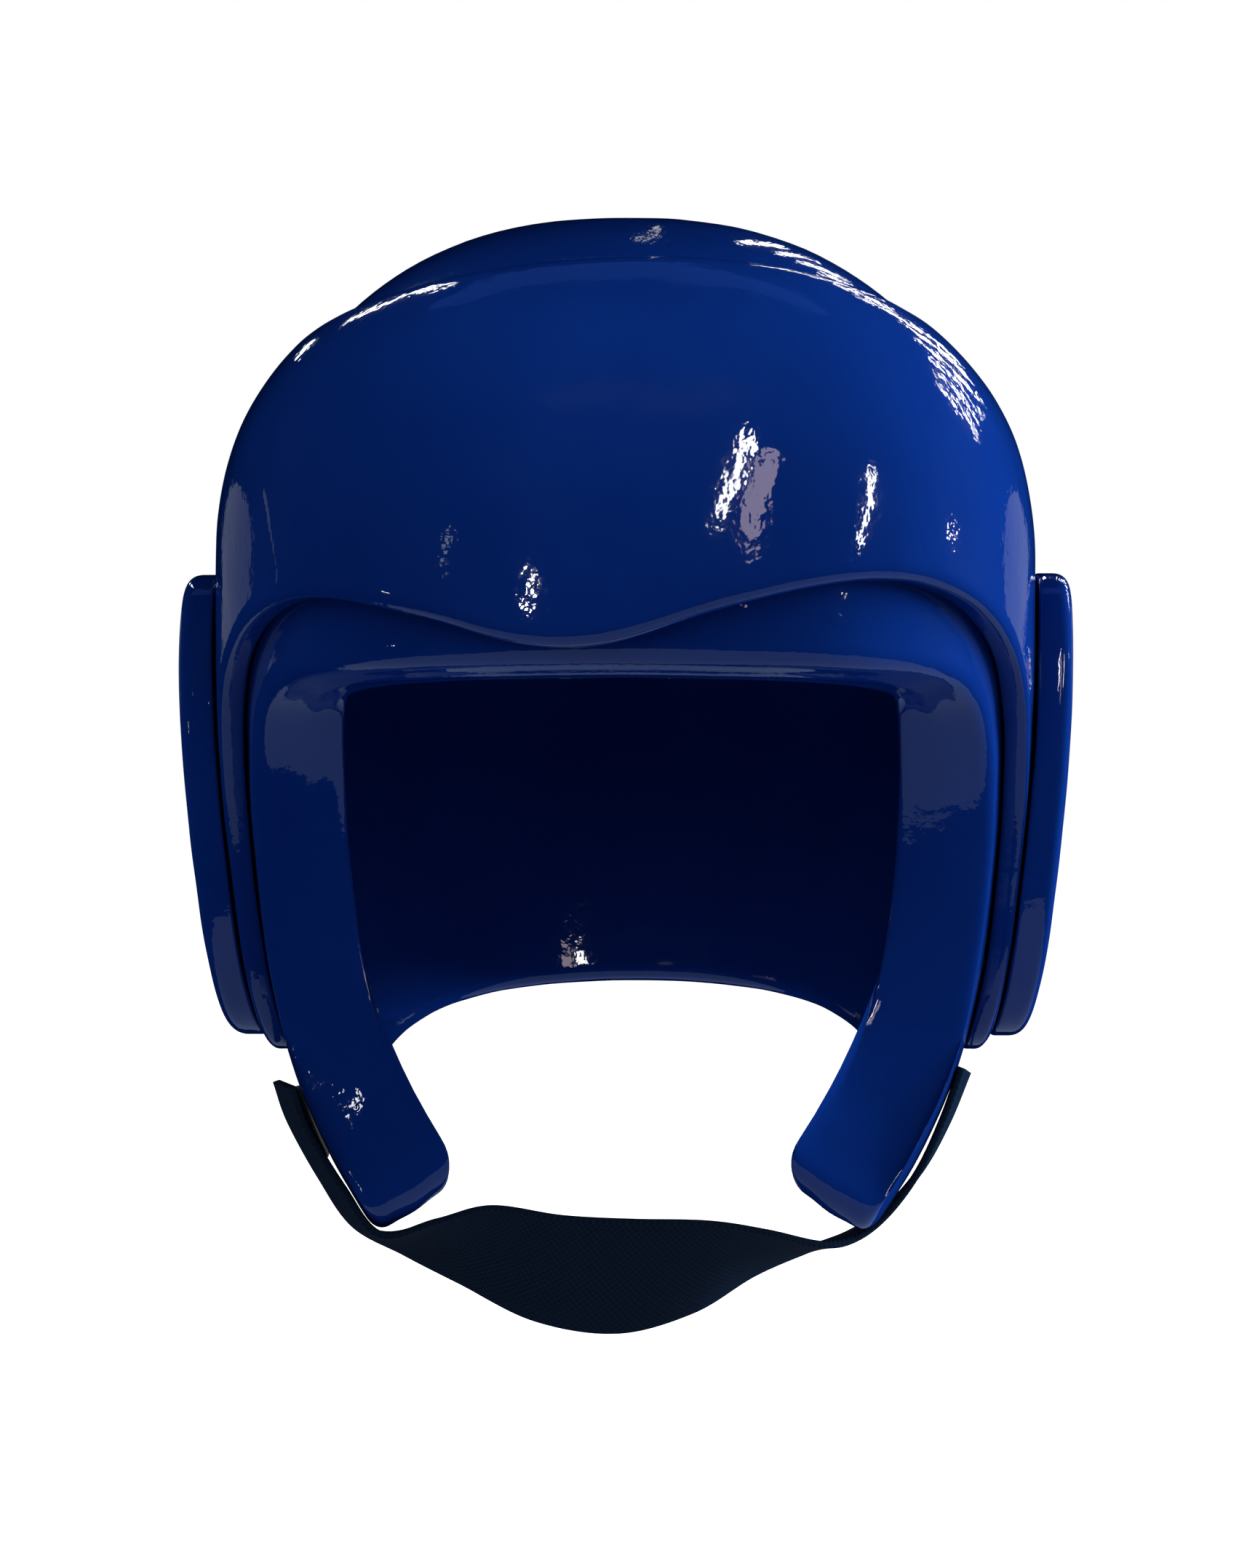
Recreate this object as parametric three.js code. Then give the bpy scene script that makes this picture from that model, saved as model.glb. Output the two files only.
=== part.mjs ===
// Dipped foam head guard: an inner shell, a second foam layer round the head, two ear pads and a chin strap.
// Millimetres, +Z up, the face towards -Y. The origin is the middle of the crown's inside, where a head sits.
// A place on the guard is an azimuth, in degrees round the head from the front, and a height.

import * as THREE from "three";

// Three head-shaped surfaces, one inside the other: the hollow for the head, the outside of the inner shell
// and the outside of the outer band. Above the widest level each is a dome, and below it each follows LEVELS.
const WIDEST_Z = -75;
const DOME_ARC = 89;
const DOMES = {
  hollow: { topFront: 0, topSide: 0, domePower: 2.25, planPower: 2.3 },
  shell: { topFront: 11, topSide: 11, domePower: 2.2, planPower: 2.45 },
  band: { topFront: 8.5, topSide: -0.5, domePower: 2.5, planPower: 2.4 },
};

// Reach of each surface from the middle at each level: to the side, the front and the back.
const LEVELS = [-75, -100, -120, -145, -170, -193, -211, -230];
const REACH = {
  hollow: {
    side: [76, 74.5, 71, 68, 64.5, 58.5, 50, 39],
    front: [97, 97.5, 97, 95, 92, 90, 87, 84],
    back: [97, 97, 95, 91, 86, 82, 80, 78],
  },
  shell: {
    side: [90, 90.5, 90, 88, 84.5, 78.5, 70.5, 59.5],
    front: [111, 111, 111, 110, 108, 106, 102, 97],
    back: [111, 111, 110, 106.5, 102, 98, 95, 92],
  },
  band: {
    side: [97.5, 97.5, 96.5, 94, 90.5, 84.5, 76.5, 65.5],
    front: [120, 120, 119.5, 118, 115, 112, 108, 104],
    back: [120, 120, 119, 115.5, 111, 106, 103, 100],
  },
};

// Edge of the inner shell, front middle to back middle: round the face, down the cheek, back under the ear.
// The rim runs from its outer edge to the edge of the hollow. crownAz is where that stretch meets the crown.
const SHELL_EDGE = table(["outerAz", "outerZ", "innerAz", "innerZ", "crownAz"], [
  [0, -97.5, 0, -102.5, 0],
  [14, -98, 14, -102.5, 14],
  [28, -98.5, 26.5, -103, 28],
  [40, -99.5, 37.5, -104, 41],
  [49.5, -103, 43.5, -106, 51],
  [57.5, -111.5, 46.5, -112, 59.5],
  [62.5, -127, 50.5, -127, 68.5],
  [64.5, -150, 53, -150, 79],
  [63.5, -177, 50.5, -175, 90],
  [58.5, -198, 43.5, -191.5, 97],
  [52.5, -212.5, 35.5, -201.5, 103],
  [47, -223, 29.5, -209, 106],
  [51.5, -227.5, 35.5, -215.5, 110],
  [62, -218, 49.5, -211, 115],
  [75, -203, 69, -202, 121],
  [91, -193.5, 89, -193.5, 129],
  [108, -191, 108, -191, 137],
  [126, -187, 126, -187, 146],
  [144, -181.5, 144, -181.5, 156],
  [162, -177.5, 162, -177.5, 168],
  [180, -176, 180, -176, 180],
]);

// Lower edge of the outer band: gull-wing over the brow, down in front of the ear, back to the nape.
const BAND_EDGE = table(["lowerAz", "lowerZ", "upperAz"], [
  [0, -95.2, 0],
  [4, -94.5, 4],
  [8, -92.6, 8],
  [16, -87.6, 15],
  [27, -82.8, 25.5],
  [36, -82, 33],
  [45, -85.4, 41],
  [53, -91.5, 49.5],
  [60, -99.5, 58],
  [65.5, -111, 66],
  [70, -129, 75],
  [73, -152, 86],
  [75.5, -174, 95],
  [82, -186, 103],
  [94, -188, 111],
  [108, -184.5, 119],
  [122, -178, 128.5],
  [136, -169.5, 139],
  [150, -162.5, 152],
  [165, -158, 166],
  [180, -157, 180],
]);
const BAND_TOP_FRONT_Z = -8;
const BAND_TOP_SIDE_Z = -23;

// The band is bonded on a little askew: its front is turned, in degrees, and sits lower on the left.
const BAND_TURN = -4.5;
const BAND_LEAN = 1.8;

// Gap of the bond between two layers, the rounding of the foam's edges, and the largest share of a wall's
// thickness that one rounding takes.
const BOND_GAP = 0.7;
const SHELL_ROUNDING = 5;
const BAND_TOP_ROUNDING = 3;
const BAND_ROUNDING = 4.5;
const UNDERSIDE_ROUNDING = 1.2;
const ROUNDING_SHARE = 0.45;

// Ear pad: a plate on the outer band, wider at its top.
const EAR_PAD = {
  layer: "band",
  middleY: 6,
  middleZ: -129,
  halfDepth: 37,
  halfHeight: 56,
  cornerPower: 2.9,
  taper: 0.16,
  thickness: 8,
  rounding: 4.5,
};

// Hook-and-loop patch on the left cheek, under the strap's end.
const FASTENER = {
  layer: "shell",
  middleY: -21,
  middleZ: -204,
  halfDepth: 12,
  halfHeight: 8,
  cornerPower: 5,
  taper: 0,
  thickness: 1,
  rounding: 0.5,
};

// Chin strap: its middle line from the left cheek to the right. swing and dip turn the webbing's width from
// straight back: swing towards +X, dip downwards at the rear edge.
const STRAP_WIDTH = 38;
const STRAP_THICKNESS = 1.8;
const STRAP_PATH = table(["x", "y", "z", "swing", "dip"], [
  [-80.5, -24.5, -195, -13, 2],
  [-77, -25.5, -204.5, -13, 2],
  [-68.7, -31, -217.3, -14, 2],
  [-59.8, -36, -227.9, -15, 3],
  [-47, -40, -229.2, -17, 18],
  [-34, -44, -230.5, -17, 34],
  [-17, -48, -235.4, -16, 46],
  [1, -49.5, -237, -12, 50],
  [18, -48, -235, -8, 40],
  [32, -42, -232.5, -6, 22],
  [44.5, -33.5, -232, -4, 9],
  [53.5, -26.5, -230.2, 0, 5],
  [61.7, -21.5, -225.1, 2, 5],
  [69.8, -19, -215.4, 4, 5],
  [75.8, -18, -203.8, 5, 6],
  [80.5, -17, -191.8, 6, 6],
]);

// Fineness of the facets.
const SHELL_HALF_STEPS = 34;
const SHELL_FLANK_STEPS = 7;
const SHELL_DOME_STEPS = 6;
const BAND_HALF_STEPS = 34;
const BAND_STEPS = 11;
const PAD_RAYS = 24;
const PAD_RINGS = 3;
const STRAP_STEPS = 45;

const BLUE_VINYL = { color: 0x0a2f8f, roughness: 0.18, metalness: 0 };
const BLACK_WEBBING = { color: 0x10151f, roughness: 0.85, metalness: 0 };

// Rows of numbers as objects with named columns.
function table(columns, rows) {
  return rows.map((row) => Object.fromEntries(columns.map((column, index) => [column, row[index]])));
}

function mix(from, to, share) {
  return from + (to - from) * share;
}

// Catmull-Rom value at share between b and c, with a before and d after them.
function catmullRom(a, b, c, d, share) {
  const slopeIn = (c - a) / 2;
  const slopeOut = (d - b) / 2;
  const cubic = 2 * b - 2 * c + slopeIn + slopeOut;
  const square = 3 * c - 3 * b - 2 * slopeIn - slopeOut;
  return ((cubic * share + square) * share + slopeIn) * share + b;
}

// Rows spaced evenly on a smooth curve through a table. before and after guide its two ends.
function smoothRows(rows, steps, before, after) {
  const guided = [before, ...rows, after];
  return Array.from({ length: steps + 1 }, (_, step) => {
    const place = (step / steps) * (rows.length - 1);
    const index = Math.min(Math.floor(place), rows.length - 2);
    const [a, b, c, d] = guided.slice(index, index + 4);
    const value = (column) => catmullRom(a[column], b[column], c[column], d[column], place - index);
    return Object.fromEntries(Object.keys(rows[0]).map((column) => [column, value(column)]));
  });
}

// The row on the other side of the middle plane, with azimuths measured on past the given turn.
function mirrored(row, turn) {
  const value = (column) => (column.endsWith("Az") ? turn - row[column] : row[column]);
  return Object.fromEntries(Object.keys(row).map((column) => [column, value(column)]));
}

// Closed run of stations round the guard from a table of its right half.
function stationsRound(rows, halfSteps) {
  const half = smoothRows(rows, halfSteps, mirrored(rows[1], 0), mirrored(rows.at(-2), 360));
  const otherHalf = half.slice(1, -1).reverse();
  return [...half, ...otherHalf.map((row) => mirrored(row, 0))];
}

// Reach at a height, on a smooth curve through the levels that leaves the widest level straight down.
function reachAt(reach, z) {
  const height = THREE.MathUtils.clamp(z, LEVELS.at(-1), LEVELS[0]);
  const last = LEVELS.length - 1;
  const index = Math.min(LEVELS.findLastIndex((level) => level >= height), last - 1);
  const slope = (at) => {
    if (at === 0) return 0;
    const next = Math.min(at + 1, last);
    return (reach[next] - reach[at - 1]) / (LEVELS[next] - LEVELS[at - 1]);
  };
  const step = LEVELS[index + 1] - LEVELS[index];
  const share = (height - LEVELS[index]) / step;
  const ease = share * share * (3 - 2 * share);
  const leave = share * (1 - share) * (1 - share) * slope(index);
  const arrive = share * share * (share - 1) * slope(index + 1);
  return mix(reach[index], reach[index + 1], ease) + step * (leave + arrive);
}

// Height of a dome's top over the given azimuth: its front and back may stand higher than its sides.
function domeTop(layer, azimuth) {
  const { topFront, topSide } = DOMES[layer];
  return mix(topSide, topFront, Math.cos(THREE.MathUtils.degToRad(azimuth)) ** 2);
}

// Distance up the surface from the widest level to a height.
function riseAt(layer, azimuth, z) {
  if (z <= WIDEST_Z) return z - WIDEST_Z;
  const share = (z - WIDEST_Z) / (domeTop(layer, azimuth) - WIDEST_Z);
  return DOME_ARC * Math.asin(share ** (DOMES[layer].domePower / 2));
}

// Point of a surface, lifted outwards by a small distance.
function pointAt(layer, azimuth, rise, lift = 0) {
  const { domePower, planPower } = DOMES[layer];
  const angle = THREE.MathUtils.degToRad(azimuth);
  const climb = THREE.MathUtils.clamp(rise / DOME_ARC, 0, Math.PI / 2);
  const domeHeight = domeTop(layer, azimuth) + lift - WIDEST_Z;
  const z = WIDEST_Z + Math.min(rise, 0) + domeHeight * Math.sin(climb) ** (2 / domePower);
  const side = reachAt(REACH[layer].side, z) + lift;
  const ahead = reachAt(Math.cos(angle) > 0 ? REACH[layer].front : REACH[layer].back, z) + lift;
  const sum = Math.abs(Math.sin(angle) / side) ** planPower + Math.abs(Math.cos(angle) / ahead) ** planPower;
  const radius = sum ** (-1 / planPower) * Math.cos(climb) ** (2 / domePower);
  return new THREE.Vector3(radius * Math.sin(angle), -radius * Math.cos(angle), z);
}

// Stretch of a surface from one place to another, with the given shares of the way.
function stretch(layer, from, to, shares, lift) {
  return shares.map((share) => {
    return pointAt(layer, mix(from.azimuth, to.azimuth, share), mix(from.rise, to.rise, share), lift);
  });
}

// Even shares of a stretch, left short at either end by a rounding of the given size.
function sharesBetween(from, to, steps, shortStart, shortEnd) {
  const across = THREE.MathUtils.degToRad(to.azimuth - from.azimuth) * DOME_ARC;
  const length = Math.hypot(across, to.rise - from.rise);
  const start = shortStart / length;
  const end = 1 - shortEnd / length;
  return Array.from({ length: steps }, (_, step) => mix(start, end, step / (steps - 1)));
}

// Middle of the arc that rounds a corner between two points.
function roundedCorner(before, corner, after) {
  return before.clone().add(after).addScaledVector(corner, 2).divideScalar(4);
}

// Edge of a wall from its outside to its inside, rounded at both corners.
function roundedEdge(outside, outerCorner, innerCorner, inside, outerRounding, innerRounding) {
  const width = outerCorner.distanceTo(innerCorner);
  const nearOuter = outerCorner.clone().lerp(innerCorner, Math.min(outerRounding / width, ROUNDING_SHARE));
  const nearInner = innerCorner.clone().lerp(outerCorner, Math.min(innerRounding / width, ROUNDING_SHARE));
  return [
    roundedCorner(outside, outerCorner, nearOuter),
    nearOuter,
    nearInner,
    roundedCorner(nearInner, innerCorner, inside),
  ];
}

// Closed solid from profiles set side by side in a ring, each cell split along its shorter diagonal. Apexes
// close the two ends, and a solid without them is closed from the end of each profile back to its start.
function solidFromProfiles(profiles, apexes = []) {
  const points = [...profiles.flat(), ...apexes];
  const length = profiles[0].length;
  const at = (station, step) => (station % profiles.length) * length + (step % length);
  const lastStep = apexes.length ? length - 1 : length;
  const faces = [];
  profiles.forEach((_, station) => {
    for (let step = 0; step < lastStep; step += 1) {
      const a = at(station, step);
      const b = at(station + 1, step);
      const c = at(station + 1, step + 1);
      const d = at(station, step + 1);
      const splitAtA = points[a].distanceTo(points[c]) < points[b].distanceTo(points[d]);
      faces.push(...(splitAtA ? [[a, b, c], [a, c, d]] : [[a, b, d], [b, c, d]]));
    }
    if (apexes.length) {
      faces.push([points.length - 2, at(station + 1, 0), at(station, 0)]);
      faces.push([points.length - 1, at(station, length - 1), at(station + 1, length - 1)]);
    }
  });
  return facesOutward(points, faces);
}

// Geometry of the faces, turned over where they enclose a negative volume.
function facesOutward(points, faces) {
  const volume = faces.reduce((sum, [a, b, c]) => {
    return sum + points[a].dot(new THREE.Vector3().crossVectors(points[b], points[c]));
  }, 0);
  const turned = volume > 0 ? faces : faces.map(([a, b, c]) => [a, c, b]);
  const geometry = new THREE.BufferGeometry().setFromPoints(points);
  geometry.setIndex(turned.flat());
  geometry.computeVertexNormals();
  return geometry;
}

// Inner shell: each profile comes down the outside from the crown, crosses the rim and goes up the hollow.
function innerShell() {
  const flank = (layer, azimuth, z, crownAz) => {
    const edge = { azimuth, rise: riseAt(layer, azimuth, z) };
    const shoulder = { azimuth: crownAz, rise: 0 };
    const crown = { azimuth: crownAz, rise: (DOME_ARC * Math.PI) / 2 };
    const lower = sharesBetween(edge, shoulder, SHELL_FLANK_STEPS, SHELL_ROUNDING, 0);
    const upper = Array.from({ length: SHELL_DOME_STEPS }, (_, step) => (step + 1) / (SHELL_DOME_STEPS + 1));
    const points = [...stretch(layer, edge, shoulder, lower), ...stretch(layer, shoulder, crown, upper)];
    return { corner: pointAt(layer, azimuth, edge.rise), points };
  };
  const profiles = stationsRound(SHELL_EDGE, SHELL_HALF_STEPS).map((station) => {
    const outside = flank("shell", station.outerAz, station.outerZ, station.crownAz);
    const inside = flank("hollow", station.innerAz, station.innerZ, station.crownAz);
    const rim = roundedEdge(
      outside.points[0], outside.corner, inside.corner, inside.points[0], SHELL_ROUNDING, SHELL_ROUNDING,
    );
    return [...outside.points.reverse(), ...rim, ...inside.points];
  });
  const crownOutside = new THREE.Vector3(0, 0, domeTop("shell", 0));
  const crownInside = new THREE.Vector3(0, 0, domeTop("hollow", 0));
  return solidFromProfiles(profiles, [crownOutside, crownInside]);
}

// How far the band sits askew at an azimuth: nothing from the ears back.
function askewAt(azimuth) {
  const angle = THREE.MathUtils.degToRad(azimuth);
  const ahead = Math.max(Math.cos(angle), 0);
  return { turn: BAND_TURN * ahead ** 2, raise: 2 * BAND_LEAN * Math.sin(angle) * ahead };
}

// A station of the band as it is bonded on, with the height of its upper edge.
function setAskew(station) {
  const sideways = Math.sin(THREE.MathUtils.degToRad(station.upperAz)) ** 2;
  const { turn, raise } = askewAt(station.lowerAz);
  return {
    lowerAz: station.lowerAz + turn,
    lowerZ: station.lowerZ + raise,
    upperAz: station.upperAz,
    upperZ: mix(BAND_TOP_FRONT_Z, BAND_TOP_SIDE_Z, sideways) + askewAt(station.upperAz).raise,
  };
}

// Outer band: each profile goes up the outside, over the top edge, down the bonded side and round below.
function outerBand() {
  const face = (layer, station, lowerRounding, upperRounding, lift) => {
    const lower = { azimuth: station.lowerAz, rise: riseAt(layer, station.lowerAz, station.lowerZ) };
    const upper = { azimuth: station.upperAz, rise: riseAt(layer, station.upperAz, station.upperZ) };
    const shares = sharesBetween(lower, upper, BAND_STEPS, lowerRounding, upperRounding);
    const [lowerCorner, upperCorner] = stretch(layer, lower, upper, [0, 1], lift);
    return { points: stretch(layer, lower, upper, shares, lift), lowerCorner, upperCorner };
  };
  const profiles = stationsRound(BAND_EDGE, BAND_HALF_STEPS).map(setAskew).map((station) => {
    const outside = face("band", station, BAND_ROUNDING, BAND_TOP_ROUNDING, 0);
    const bonded = face("shell", station, UNDERSIDE_ROUNDING, UNDERSIDE_ROUNDING, BOND_GAP);
    const upperEdge = roundedEdge(
      outside.points.at(-1), outside.upperCorner, bonded.upperCorner, bonded.points.at(-1),
      BAND_TOP_ROUNDING, UNDERSIDE_ROUNDING,
    );
    const lowerEdge = roundedEdge(
      outside.points[0], outside.lowerCorner, bonded.lowerCorner, bonded.points[0],
      BAND_ROUNDING, UNDERSIDE_ROUNDING,
    );
    return [...outside.points, ...upperEdge, ...bonded.points.reverse(), ...lowerEdge.reverse()];
  });
  return solidFromProfiles(profiles);
}

// Rounded plate on the side of a layer: side is 1 on the right and -1 on the left.
function sidePad(pad, side) {
  const { planPower } = DOMES[pad.layer];
  const onLayer = (y, z, lift) => {
    const reach = REACH[pad.layer];
    const ahead = reachAt(y < 0 ? reach.front : reach.back, z) + lift;
    const across = (1 - Math.abs(y / ahead) ** planPower) ** (1 / planPower);
    return new THREE.Vector3(side * (reachAt(reach.side, z) + lift) * across, y, z);
  };
  const outlineAt = (angle) => {
    const along = Math.abs(Math.cos(angle) / pad.halfDepth) ** pad.cornerPower;
    const up = Math.abs(Math.sin(angle) / pad.halfHeight) ** pad.cornerPower;
    const radius = (along + up) ** (-1 / pad.cornerPower);
    const height = radius * Math.sin(angle);
    const depth = radius * Math.cos(angle) * (1 + (pad.taper * height) / pad.halfHeight);
    return { depth, height, radius };
  };
  const topLift = BOND_GAP + pad.thickness;
  const profiles = Array.from({ length: PAD_RAYS }, (_, ray) => {
    const { depth, height, radius } = outlineAt((ray / PAD_RAYS) * 2 * Math.PI);
    const place = (share, lift) => onLayer(pad.middleY + depth * share, pad.middleZ + height * share, lift);
    const shares = Array.from({ length: PAD_RINGS }, (_, ring) => (ring + 1) / PAD_RINGS);
    const face = (lift, rounding) => shares.map((share) => place(share * (1 - rounding / radius), lift));
    const outside = face(topLift, pad.rounding);
    const bonded = face(BOND_GAP, Math.min(pad.rounding, UNDERSIDE_ROUNDING));
    const edge = roundedEdge(
      outside.at(-1), place(1, topLift), place(1, BOND_GAP), bonded.at(-1), pad.rounding, UNDERSIDE_ROUNDING,
    );
    return [...outside, ...edge, ...bonded.reverse()];
  });
  const middle = (lift) => onLayer(pad.middleY, pad.middleZ, lift);
  return solidFromProfiles(profiles, [middle(topLift), middle(BOND_GAP)]);
}

// Chin strap: a flat band of webbing along its path, square at both ends.
function chinStrap() {
  const beyond = (end, next) => {
    return Object.fromEntries(Object.keys(end).map((column) => [column, 2 * end[column] - next[column]]));
  };
  const first = beyond(STRAP_PATH[0], STRAP_PATH[1]);
  const last = beyond(STRAP_PATH.at(-1), STRAP_PATH.at(-2));
  const rows = smoothRows(STRAP_PATH, STRAP_STEPS, first, last);
  const middles = rows.map((row) => new THREE.Vector3(row.x, row.y, row.z));
  const corners = rows.map((row, step) => {
    const swing = THREE.MathUtils.degToRad(row.swing);
    const dip = THREE.MathUtils.degToRad(row.dip);
    const flat = Math.cos(dip);
    const rearward = new THREE.Vector3(flat * Math.sin(swing), flat * Math.cos(swing), -Math.sin(dip));
    const along = middles[Math.min(step + 1, STRAP_STEPS)].clone().sub(middles[Math.max(step - 1, 0)]);
    const outward = along.cross(rearward).normalize();
    const corner = (back, out) => {
      const shifted = middles[step].clone().addScaledVector(rearward, (back * STRAP_WIDTH) / 2);
      return shifted.addScaledVector(outward, (out * STRAP_THICKNESS) / 2);
    };
    return [corner(-1, 1), corner(1, 1), corner(1, -1), corner(-1, -1)];
  });
  const edges = [0, 1, 2, 3].map((index) => corners.map((section) => section[index]));
  return solidFromProfiles(edges, [middles[0], middles.at(-1)]);
}

function piece(name, geometry, look) {
  const mesh = new THREE.Mesh(geometry, new THREE.MeshStandardMaterial(look));
  mesh.name = name;
  return mesh;
}

const headGuard = new THREE.Group();
headGuard.add(
  piece("inner_shell", innerShell(), BLUE_VINYL),
  piece("outer_band", outerBand(), BLUE_VINYL),
  piece("ear_pad_left", sidePad(EAR_PAD, -1), BLUE_VINYL),
  piece("ear_pad_right", sidePad(EAR_PAD, 1), BLUE_VINYL),
  piece("chin_strap", chinStrap(), BLACK_WEBBING),
  piece("strap_fastener", sidePad(FASTENER, -1), BLACK_WEBBING),
);

export default headGuard;
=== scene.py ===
"""Dipped foam head guard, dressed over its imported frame.

Sizes are in millimetres and angles in degrees, as in the part's source. Each mesh is put in metres as it is made.
A place on the guard is an azimuth round it from the front and a height.
"""

import bpy
import numpy as np
from mathutils import Matrix


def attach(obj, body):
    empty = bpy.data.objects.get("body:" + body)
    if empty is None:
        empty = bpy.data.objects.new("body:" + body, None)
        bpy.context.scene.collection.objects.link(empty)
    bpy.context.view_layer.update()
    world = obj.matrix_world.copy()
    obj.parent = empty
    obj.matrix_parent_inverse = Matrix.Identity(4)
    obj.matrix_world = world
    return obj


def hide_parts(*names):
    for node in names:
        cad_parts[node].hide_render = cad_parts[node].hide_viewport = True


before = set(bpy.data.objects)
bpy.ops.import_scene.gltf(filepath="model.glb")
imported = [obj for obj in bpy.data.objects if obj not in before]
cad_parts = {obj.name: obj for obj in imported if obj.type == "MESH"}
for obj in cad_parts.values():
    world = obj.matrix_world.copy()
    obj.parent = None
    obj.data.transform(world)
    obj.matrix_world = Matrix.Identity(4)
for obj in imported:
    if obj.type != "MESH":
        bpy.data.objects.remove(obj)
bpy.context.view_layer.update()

# Inner shell: one thick moulding of closed-cell foam with a full crown, a brow bar, cheeks down to the jaw and
# a closed back. It is dipped in blue vinyl, which rounds every edge and shows the foam's slight unevenness.
# It carries every other piece.
MM = 0.001
WIDEST_Z = -75.0
DOME_ARC = 89.0
LEVELS = np.array([-75, -100, -120, -145, -170, -193, -211, -230], float)
HOLLOW = {
    "top_front": 0.0,
    "top_side": 0.0,
    "dome_power": 2.25,
    "plan_power": 2.3,
    "side": [76, 74.5, 71, 68, 64.5, 58.5, 50, 39],
    "front": [97, 97.5, 97, 95, 92, 90, 87, 84],
    "back": [97, 97, 95, 91, 86, 82, 80, 78],
}
SHELL = {
    "top_front": 11.0,
    "top_side": 11.0,
    "dome_power": 2.2,
    "plan_power": 2.45,
    "side": [90, 90.5, 90, 88, 84.5, 78.5, 70.5, 59.5],
    "front": [111, 111, 111, 110, 108, 106, 102, 97],
    "back": [111, 111, 110, 106.5, 102, 98, 95, 92],
}
SHELL_EDGE_IS_AZIMUTH = np.array([True, False, True, False, True])
SHELL_EDGE = np.array([  # outer azimuth, outer height, inner azimuth, inner height, azimuth at the crown
    [0, -97.5, 0, -102.5, 0],
    [14, -98, 14, -102.5, 14],
    [28, -98.5, 26.5, -103, 28],
    [40, -99.5, 37.5, -104, 41],
    [49.5, -103, 43.5, -106, 51],
    [57.5, -111.5, 46.5, -112, 59.5],
    [62.5, -127, 50.5, -127, 68.5],
    [64.5, -150, 53, -150, 79],
    [63.5, -177, 50.5, -175, 90],
    [58.5, -198, 43.5, -191.5, 97],
    [52.5, -212.5, 35.5, -201.5, 103],
    [47, -223, 29.5, -209, 106],
    [51.5, -227.5, 35.5, -215.5, 110],
    [62, -218, 49.5, -211, 115],
    [75, -203, 69, -202, 121],
    [91, -193.5, 89, -193.5, 129],
    [108, -191, 108, -191, 137],
    [126, -187, 126, -187, 146],
    [144, -181.5, 144, -181.5, 156],
    [162, -177.5, 162, -177.5, 168],
    [180, -176, 180, -176, 180],
], float)
SHELL_ROUNDING = 5.0
RIM_PUFF = 0.5
ROUNDING_SHARE = 0.45
SHELL_STATIONS = 180
SHELL_OUTSIDE_STEPS = (46, 40)
SHELL_INSIDE_STEPS = (26, 22)
CORNER_STEPS = 8
RIM_STEPS = 9
BLUE = (0.003, 0.030, 0.23)
DEEP_BLUE = (0.002, 0.020, 0.17)


def smooth_rows(rows, before, after, steps):
    """Catmull-Rom curve through the rows of a table, at even steps: between rows b and c it is the cubic that
    leaves b along (c - a) / 2 and reaches c along (d - b) / 2. before and after guide the two ends."""
    guided = np.vstack([before, rows, after])
    place = np.linspace(0, len(rows) - 1, steps + 1)
    index = np.minimum(place.astype(int), len(rows) - 2)
    t = (place - index)[:, None]
    a, b, c, d = (guided[index + k] for k in range(4))
    leave, arrive = (c - a) / 2, (d - b) / 2
    return ((2 * b - 2 * c + leave + arrive) * t + 3 * c - 3 * b - 2 * leave - arrive) * t * t + leave * t + b


def stations_round(half, is_azimuth, half_steps):
    """Rows all round the guard from a table of its right half: a smooth curve through them, led on past both
    ends by their mirror images, and then its own mirror image for the left half."""
    mirror = np.where(is_azimuth, -1, 1)
    right = smooth_rows(half, half[1] * mirror, half[-2] * mirror + 360 * is_azimuth, half_steps)
    whole = np.vstack([right, right[-2:0:-1] * mirror])
    return np.where(is_azimuth, np.radians(whole), whole).T


def reach_at(reach, z):
    """Reach of a layer at each height: a cubic Hermite curve through the levels, which leaves the widest level
    straight down and has central differences for its other slopes."""
    reach = np.array(reach, float)
    slope = np.zeros(len(LEVELS))
    slope[1:-1] = (reach[2:] - reach[:-2]) / (LEVELS[2:] - LEVELS[:-2])
    slope[-1] = (reach[-1] - reach[-2]) / (LEVELS[-1] - LEVELS[-2])
    height = np.clip(z, LEVELS[-1], LEVELS[0])
    i = np.clip(np.searchsorted(-LEVELS, -height, side="right") - 1, 0, len(LEVELS) - 2)
    step = LEVELS[i + 1] - LEVELS[i]
    t = (height - LEVELS[i]) / step
    ends = reach[i] + (reach[i + 1] - reach[i]) * t * t * (3 - 2 * t)
    return ends + step * (t * (1 - t) ** 2 * slope[i] + t * t * (t - 1) * slope[i + 1])


def dome_top(layer, azimuth):
    """Height of a layer's dome: the side's height, and the front's share of the rest by cosine squared."""
    return layer["top_side"] + (layer["top_front"] - layer["top_side"]) * np.cos(azimuth) ** 2


def rise_at(layer, azimuth, z):
    """Way up a layer from its widest level to a height: the height itself below that level, and above it the
    arc whose sine to the power 2 / dome_power is the share of the dome's height."""
    share = np.clip((z - WIDEST_Z) / (dome_top(layer, azimuth) - WIDEST_Z), 0, 1)
    return np.where(z <= WIDEST_Z, z - WIDEST_Z, DOME_ARC * np.arcsin(share ** (layer["dome_power"] / 2)))


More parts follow.
